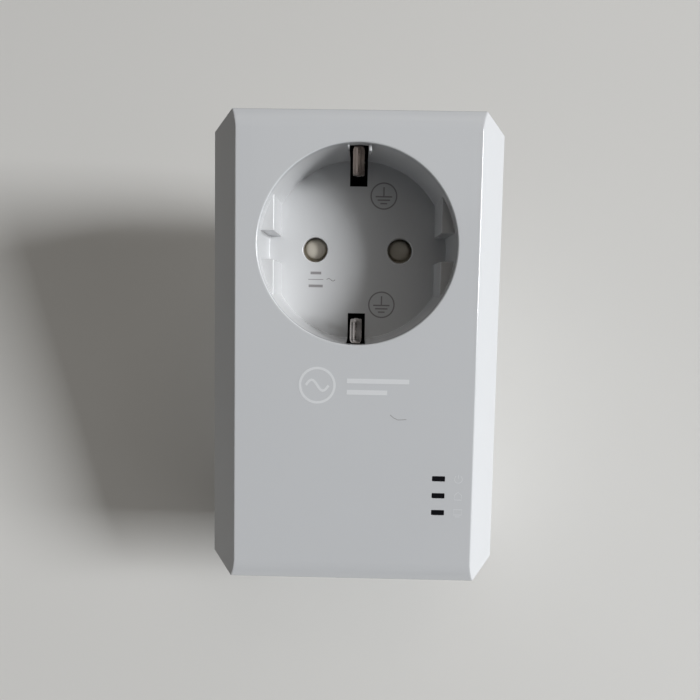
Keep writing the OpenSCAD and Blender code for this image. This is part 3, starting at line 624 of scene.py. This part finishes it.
# ---- Shutter: a plate with a raised dome behind each pin hole, and the two openings above ----
shut_lo, shut_hi = box_mm("shutter")
SHUT_Y = shut_lo[1]
SHUT_W, SHUT_H = shut_hi[0] - shut_lo[0], shut_hi[2] - shut_lo[2]
OPENING_R, OPENING_Z = 2.9, 6
DOME_R, DOME_H, DOME_Z = 2.4, 0.73, 0.4
MOAT_R, MOAT_D = 3.5, 1.6
NOTCH_X, NOTCH_TOP = 1.35, 6.6
y_cut = SHUT_Y - BEYOND
moat_floor = SHUT_Y + MOAT_D
plate = round_box(0, (shut_lo[2] + shut_hi[2]) / 2, SHUT_W, SHUT_H, 1.1)
shutter = prism_y("shutter_plate", plate, SHUT_Y, shut_hi[1])
for x in (-PIN_X, PIN_X):
    at = (x, DOME_Z)
    combine(shutter, rod("hole", OPENING_R, y_cut, shut_hi[1] + BEYOND, (x, OPENING_Z)))
    moat = [(DOME_R, y_cut), (MOAT_R, y_cut), (MOAT_R, moat_floor), (DOME_R, moat_floor), (DOME_R, y_cut)]
    combine(shutter, turned("moat", moat, at, 64))
    combine(shutter, rod("waste", DOME_R + 0.04, y_cut, SHUT_Y + 1.2, at))
    dome = [(0, SHUT_Y + 0.02)]
    for angle in (12, 24, 36, 48, 60, 72, 81, 87, 90):
        a = math.radians(angle)
        dome.append((DOME_R * math.sin(a), SHUT_Y + 0.02 + DOME_H * (1 - math.cos(a))))
    combine(shutter, turned("dome", dome + [(DOME_R, SHUT_Y + 1.5), (0, SHUT_Y + 1.5)], at, 64), "UNION")
notch_low, notch_high = (-NOTCH_X, y_cut, shut_lo[2] - BEYOND), (NOTCH_X, shut_hi[1] + BEYOND, NOTCH_TOP)
combine(shutter, slab("notch", notch_low, notch_high))
soften(shutter, 0.12, 2, 40)
shade(shutter, 45)

# ---- Shutter spring: a closed-end coil, which the shutter squashes as it slides; here it rides rigid on the housing ----
spring_lo, spring_hi = box_mm("shutter_spring")


def coil_spring(name, turns=9, wire=0.3, steps=24, sides=10):
    mean_r = (spring_hi[0] - spring_lo[0]) / 2 - wire / 2
    middle = ((spring_lo[0] + spring_hi[0]) / 2, (spring_lo[1] + spring_hi[1]) / 2)
    low, high = spring_lo[2] + wire / 2, spring_hi[2] - wire / 2
    closed = 1.1                                     # turns that lie flat at each end
    rise = high - low - 2 * wire
    rings = []
    for i in range(turns * steps + 1):
        t = i / steps
        z = low + wire * min(t / closed, 1) + rise * min(max((t - closed) / (turns - 2 * closed), 0), 1)
        z += wire * min(max((t - turns + closed) / closed, 0), 1)
        wire_ring = circle(mean_r, z, wire / 2, sides)
        rings.append([(*polar(*middle, r, 360 * t), h) for r, h in wire_ring])
    return new_object(name, *loft(rings))


spring = coil_spring("spring_coil")
shade(spring, 60)


# ---- Materials ----
BUMP_DEPTH = 0.00002   # metres


def material(name, color, rough=0.4, metal=0.0, coat=0.0, coat_rough=0.05, bump=0.0, bump_scale=800.0,
             rough_var=0.06, tint=0.03, tint_scale=60.0, ior=1.5, sss=0.0, stretch=None):
    """A Principled material whose colour, roughness and surface vary with noise at the object's own scale."""
    m = bpy.data.materials.new(name)
    m.use_nodes = True
    nt = m.node_tree
    b = nt.nodes["Principled BSDF"]
    co = nt.nodes.new("ShaderNodeTexCoord")
    where = co.outputs["Object"]
    if stretch:
        mp = nt.nodes.new("ShaderNodeMapping")
        mp.inputs["Scale"].default_value = stretch
        nt.links.new(where, mp.inputs["Vector"])
        where = mp.outputs["Vector"]
    big = nt.nodes.new("ShaderNodeTexNoise")
    big.inputs["Scale"].default_value = tint_scale
    big.inputs["Detail"].default_value = 3
    nt.links.new(where, big.inputs["Vector"])
    ramp = nt.nodes.new("ShaderNodeMix")
    ramp.data_type = "RGBA"
    ramp.inputs["A"].default_value = (*[c * (1 - tint) for c in color], 1)
    ramp.inputs["B"].default_value = (*[min(1, c * (1 + tint)) for c in color], 1)
    nt.links.new(big.outputs["Fac"], ramp.inputs["Factor"])
    nt.links.new(ramp.outputs["Result"], b.inputs["Base Color"])
    rr = nt.nodes.new("ShaderNodeMapRange")
    rr.inputs["To Min"].default_value = max(0.02, rough - rough_var)
    rr.inputs["To Max"].default_value = rough + rough_var
    nt.links.new(big.outputs["Fac"], rr.inputs["Value"])
    nt.links.new(rr.outputs["Result"], b.inputs["Roughness"])
    if bump:
        fine = nt.nodes.new("ShaderNodeTexNoise")
        fine.inputs["Scale"].default_value = bump_scale
        fine.inputs["Detail"].default_value = 4
        nt.links.new(where, fine.inputs["Vector"])
        bp = nt.nodes.new("ShaderNodeBump")
        bp.inputs["Strength"].default_value = bump
        bp.inputs["Distance"].default_value = BUMP_DEPTH
        nt.links.new(fine.outputs["Fac"], bp.inputs["Height"])
        nt.links.new(bp.outputs["Normal"], b.inputs["Normal"])
    b.inputs["Metallic"].default_value = metal
    b.inputs["IOR"].default_value = ior
    b.inputs["Coat Weight"].default_value = coat
    b.inputs["Coat Roughness"].default_value = coat_rough
    b.inputs["Subsurface Weight"].default_value = sss
    return m


# Case and recess
case_gloss = material("case_gloss", (0.615, 0.626, 0.642), 0.17, coat=0.15, coat_rough=0.04,
                      bump=0.25, bump_scale=900, rough_var=0.03, tint=0.012)
case_rear = material("case_rear", (0.60, 0.612, 0.625), 0.34,
                     bump=0.6, bump_scale=2600, rough_var=0.05, tint=0.015)
insert_satin = material("insert_satin", (0.61, 0.615, 0.622), 0.2,
                        bump=0.5, bump_scale=3000, rough_var=0.05, tint=0.012)
shutter_mat = material("shutter_beige", (0.62, 0.575, 0.49), 0.4,
                       bump=0.5, bump_scale=1800, tint=0.04, tint_scale=300)
# Near-black, painted shade for the unlit depth of the earth slots
slot_painted_shade = material("slot_painted_shade", (0.004, 0.004, 0.004), 0.75,
                      bump=0.4, bump_scale=1500, tint=0.2, tint_scale=300, ior=1.15)
lens_black = material("light_lens", (0.006, 0.006, 0.008), 0.25, coat=0.1,
                      bump=0.1, bump_scale=900, tint=0.1, tint_scale=200)
label = material("label", (0.62, 0.63, 0.64), 0.5, bump=0.3, bump_scale=3000, rough_var=0.05, tint=0.01)
mark_dark = material("mark_dark", (0.27, 0.26, 0.265), 0.5, bump=0.2, tint=0.05)
mark_light = material("mark_light", (0.76, 0.77, 0.785), 0.2, coat=0.4, bump=0.1, tint=0.02)

# Metals
nickel = material("nickel", (0.56, 0.51, 0.485), 0.2, metal=1.0,
                  bump=0.5, bump_scale=500, rough_var=0.04, tint=0.12, tint_scale=250, stretch=(10, 1, 1))
# A darker copy of the nickel, painted shade for the upper clip, whose face turns away from the light
nickel_painted_shade = material("nickel_painted_shade", (0.27, 0.225, 0.20), 0.2, metal=1.0,
                       bump=0.5, bump_scale=500, rough_var=0.04, tint=0.2, tint_scale=250, stretch=(10, 1, 1))
pin_nickel = material("pin_nickel", (0.66, 0.65, 0.62), 0.2, metal=1.0,
                      bump=0.3, bump_scale=900, tint=0.05, tint_scale=300)
steel = material("steel", (0.60, 0.60, 0.61), 0.3, metal=1.0,
                 bump=0.5, bump_scale=1500, rough_var=0.1, tint=0.06, tint_scale=500)
brass = material("brass", (0.72, 0.52, 0.24), 0.28, metal=1.0,
                 bump=0.3, bump_scale=900, tint=0.08, tint_scale=300)
gold = material("gold", (0.80, 0.60, 0.26), 0.2, metal=1.0,
                bump=0.2, bump_scale=900, tint=0.05, tint_scale=300)
copper = material("copper", (0.62, 0.24, 0.10), 0.28, metal=1.0,
                  bump=0.5, bump_scale=1200, tint=0.1, tint_scale=500)
alu = material("aluminium", (0.62, 0.63, 0.64), 0.36, metal=1.0,
               bump=0.5, bump_scale=1400, rough_var=0.1, tint=0.05, tint_scale=400)

# Inner parts
black = material("black_plastic", (0.012, 0.012, 0.014), 0.38,
                 bump=0.5, bump_scale=2000, tint=0.1, tint_scale=200)
grey = material("grey_plastic", (0.10, 0.10, 0.105), 0.45,
                bump=0.5, bump_scale=1800, tint=0.06, tint_scale=200)
brown = material("brown_plastic", (0.12, 0.05, 0.02), 0.35,
                 bump=0.5, bump_scale=700, tint=0.1, tint_scale=250)
carrier_mat = material("carrier", (0.10, 0.10, 0.10), 0.55,
                       bump=0.6, bump_scale=1500, tint=0.06, tint_scale=150)
board_mat = material("solder_mask", (0.015, 0.11, 0.04), 0.3,
                     bump=0.5, bump_scale=500, tint=0.15, tint_scale=250)
ferrite_mat = material("ferrite", (0.035, 0.035, 0.037), 0.5,
                       bump=0.8, bump_scale=1500, tint=0.1, tint_scale=300)
yellow = material("yellow_tape", (0.62, 0.40, 0.03), 0.32,
                  bump=0.4, bump_scale=400, tint=0.08, tint_scale=200)
sleeve = material("capacitor_sleeve", (0.015, 0.02, 0.06), 0.28, coat=0.3,
                  bump=0.3, bump_scale=500, tint=0.1, tint_scale=200)
green = material("choke_green", (0.02, 0.10, 0.04), 0.35, bump=0.6, bump_scale=900, tint=0.1, tint_scale=300)
blue = material("blue_coating", (0.02, 0.07, 0.32), 0.3, coat=0.3,
                bump=0.6, bump_scale=500, tint=0.1, tint_scale=250)
pad = material("pad", (0.26, 0.34, 0.45), 0.7, bump=0.8, bump_scale=1200, tint=0.08, tint_scale=300)
resin = material("resin", (0.80, 0.76, 0.50), 0.15, coat=0.5, bump=0.1, tint=0.03, sss=0.2)


def paint(o, m):
    o.data.materials.clear()
    o.data.materials.append(m)


# The script's own pieces: (piece, material, body it rides on, CAD node it stands for)
PIECES = (
    (front_shell, case_gloss, "housing", "front_cover"),
    (rear_shell, case_rear, "housing", "rear_cover"),
    (cup, insert_satin, "housing", "socket_cup"),
    # The upper clip's nickel is a darker copy, painted shade
    (clip_top, nickel_painted_shade, "earth_clip_top", "earth_clip_top"),
    (clip_bottom, nickel, "earth_clip_bottom", "earth_clip_bottom"),
    (shutter, shutter_mat, "shutter", "shutter"),
    (recess_marks, mark_dark, "housing", None),
    (front_marks, mark_light, "housing", None),
    (scratch, mark_dark, "housing", None),
    # The slot sheets are near-black, painted shade
    (slot_shade_sheet, slot_painted_shade, "housing", None),
    (spring, steel, "housing", "shutter_spring"),
)
for o, mat, body, node in PIECES:
    paint(o, mat)
    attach(o, body)
    if node:
        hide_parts(node)
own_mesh(spring)

# CAD nodes shown as they are, each with its material
CARRIED = {
    "plug_body": case_rear, "plug_pin_left": pin_nickel, "plug_pin_right": pin_nickel,
    "plug_earth_contact_top": nickel, "plug_earth_contact_bottom": nickel, "plug_earth_tube": nickel,
    "earth_strap": nickel, "line_contact": brass, "neutral_contact": brass, "line_ferrite": ferrite_mat,
    "neutral_ferrite": ferrite_mat, "contact_carrier": carrier_mat, "carrier_screws": steel,
    "main_board": board_mat, "board_screws": steel, "ethernet_jack": black, "ethernet_contacts": gold,
    "ethernet_shield": steel, "pair_button": case_gloss, "switch_body": grey, "switch_plunger": black,
    "light_pipe": lens_black, "status_leds": resin, "power_transformer": yellow,
    "smoothing_capacitors": sleeve, "suppression_capacitor": yellow, "noise_choke": green,
    "choke_windings": copper, "surge_varistor": blue, "fuse": brown, "coupling_transformer": black,
    "bridge_rectifier": black, "main_processor": black, "thermal_pad": pad, "heat_sink": alu,
    "memory_chip": black, "flash_chip": black, "ethernet_magnetics": black, "crystal": steel,
    "line_lead": brown, "neutral_lead": blue, "case_screws": steel, "rear_label": label,
}
UNMERGED = ("plug_pin_left", "plug_pin_right", "line_lead", "neutral_lead")     # round all over
for name, mat in CARRIED.items():
    o = NODES[name]
    for s in o.material_slots:
        s.material = mat
    if name not in UNMERGED:
        d = o.modifiers.new("flat_faces", "DECIMATE")
        d.decimate_type = "DISSOLVE"
        d.angle_limit = math.radians(0.6)
    even_normals(o)

# ---- Table ----
# The adapter lies on its pin tips and the lower edge of its back. From here on, lengths are metres.
TABLE_HALF = 1.5
TABLE_GAP = 0.0003
TIP_Z = -0.0005        # where the table meets the rounded pin tips
edge = Vector((0, Y_BACK * MM, (Z_LOW + BACK_R) * MM))
along = (Vector((0, cad_hi[1], TIP_Z)) - edge).normalized()
normal = Vector((0, -along.z, along.y))
right = Vector((1, 0, 0))
corners = [edge - normal * TABLE_GAP + right * x * TABLE_HALF + along * z * TABLE_HALF
           for x, z in ((-1, -1), (1, -1), (1, 1), (-1, 1))]
mesh = bpy.data.meshes.new("table_top")
mesh.from_pydata(corners, [], [[0, 1, 2, 3]])
table_top = bpy.data.objects.new("table_top", mesh)
bpy.context.scene.collection.objects.link(table_top)
if mesh.polygons[0].normal.dot(normal) < 0:
    mesh.flip_normals()
floor_mat = material("table", (0.64, 0.635, 0.62), 0.62,
                     bump=0.3, bump_scale=300, rough_var=0.05, tint=0.02, tint_scale=3)
nt = floor_mat.node_tree
out = nt.nodes["Material Output"]
glow = nt.nodes["Principled BSDF"].inputs          # stands for the pale room's light in the shadow
glow["Emission Color"].default_value = (1.0, 0.97, 0.90, 1)
glow["Emission Strength"].default_value = 0.062
# The table's underside is clear, so that the adapter's back can be seen through it
geo = nt.nodes.new("ShaderNodeNewGeometry")
clear = nt.nodes.new("ShaderNodeBsdfTransparent")
mix = nt.nodes.new("ShaderNodeMixShader")
nt.links.new(geo.outputs["Backfacing"], mix.inputs["Fac"])
nt.links.new(nt.nodes["Principled BSDF"].outputs["BSDF"], mix.inputs[1])
nt.links.new(clear.outputs["BSDF"], mix.inputs[2])
nt.links.new(mix.outputs["Shader"], out.inputs["Surface"])
paint(table_top, floor_mat)
table_top.visible_shadow = False     # the soft light behind it reaches the back of the case


# ---- Light ----
def area(name, where, target, size, power, color):
    data = bpy.data.lights.new(name, "AREA")
    data.shape = "RECTANGLE"
    data.size, data.size_y = size
    data.energy = power
    data.color = color
    o = bpy.data.objects.new(name, data)
    o.location = where
    o.rotation_mode = "QUATERNION"
    o.rotation_quaternion = (Vector(target) - Vector(where)).to_track_quat("-Z", "Y")
    bpy.context.scene.collection.objects.link(o)


def above_table(height, turn, reach=1.0):
    """A place at a height angle above the table, turned from the right towards the top."""
    h, t = math.radians(height), math.radians(turn)
    flat = right * math.cos(t) + along * math.sin(t)
    return (flat * math.cos(h) + normal * math.sin(h)) * reach


aim = (0, Y_FRONT * MM, -0.02)
back_aim = (0, Y_BACK * MM, -0.02)
COOL, WARM = (0.97, 0.985, 1.0), (1.0, 0.95, 0.88)
# Each light's name, place, target, size, power and colour
area("window", above_table(34.3, -14, 4.0), aim, (1.25, 1.15), 175.0, COOL)
area("window_side", above_table(34.3, -35, 4.0), aim, (1.2, 1.2), 6.0, COOL)
area("far_wall", above_table(38, 62), aim, (1.8, 0.7), 1.3, WARM)
area("left_wall", above_table(22, 178), aim, (0.8, 0.4), 0.3, WARM)
area("ceiling", above_table(80, 0), aim, (0.8, 0.8), 0.9, WARM)
area("behind", above_table(-50, 80, 1.2), back_aim, (0.9, 0.9), 5.5, COOL)
world = bpy.data.worlds.new("room")
world.use_nodes = True
background = world.node_tree.nodes["Background"].inputs
background["Color"].default_value = (0.95, 0.96, 1.0, 1)
background["Strength"].default_value = 0.01
bpy.context.scene.world = world

# ---- Camera: straight in front, a little above the middle, leaning down slightly ----
CAMERA_AT = Vector((0.78, Y_FRONT - 135.5, -9.9))
cam_data = bpy.data.cameras.new("camera")
cam_data.sensor_width = 36
cam_data.lens = 34.73
cam_data.clip_start, cam_data.clip_end = 0.005, 20
cam = bpy.data.objects.new("camera", cam_data)
bpy.context.scene.collection.objects.link(cam)
look = Vector((-0.01360, 0.99655, -0.08187)).normalized()
upward = Vector((-0.01857, 0.08161, 0.99649))
side = look.cross(upward).normalized()
turn = Matrix((side, side.cross(look), -look)).transposed()
cam.matrix_world = Matrix.Translation(CAMERA_AT * MM) @ turn.to_4x4()
bpy.context.scene.camera = cam
bpy.context.scene.view_settings.view_transform = "Standard"
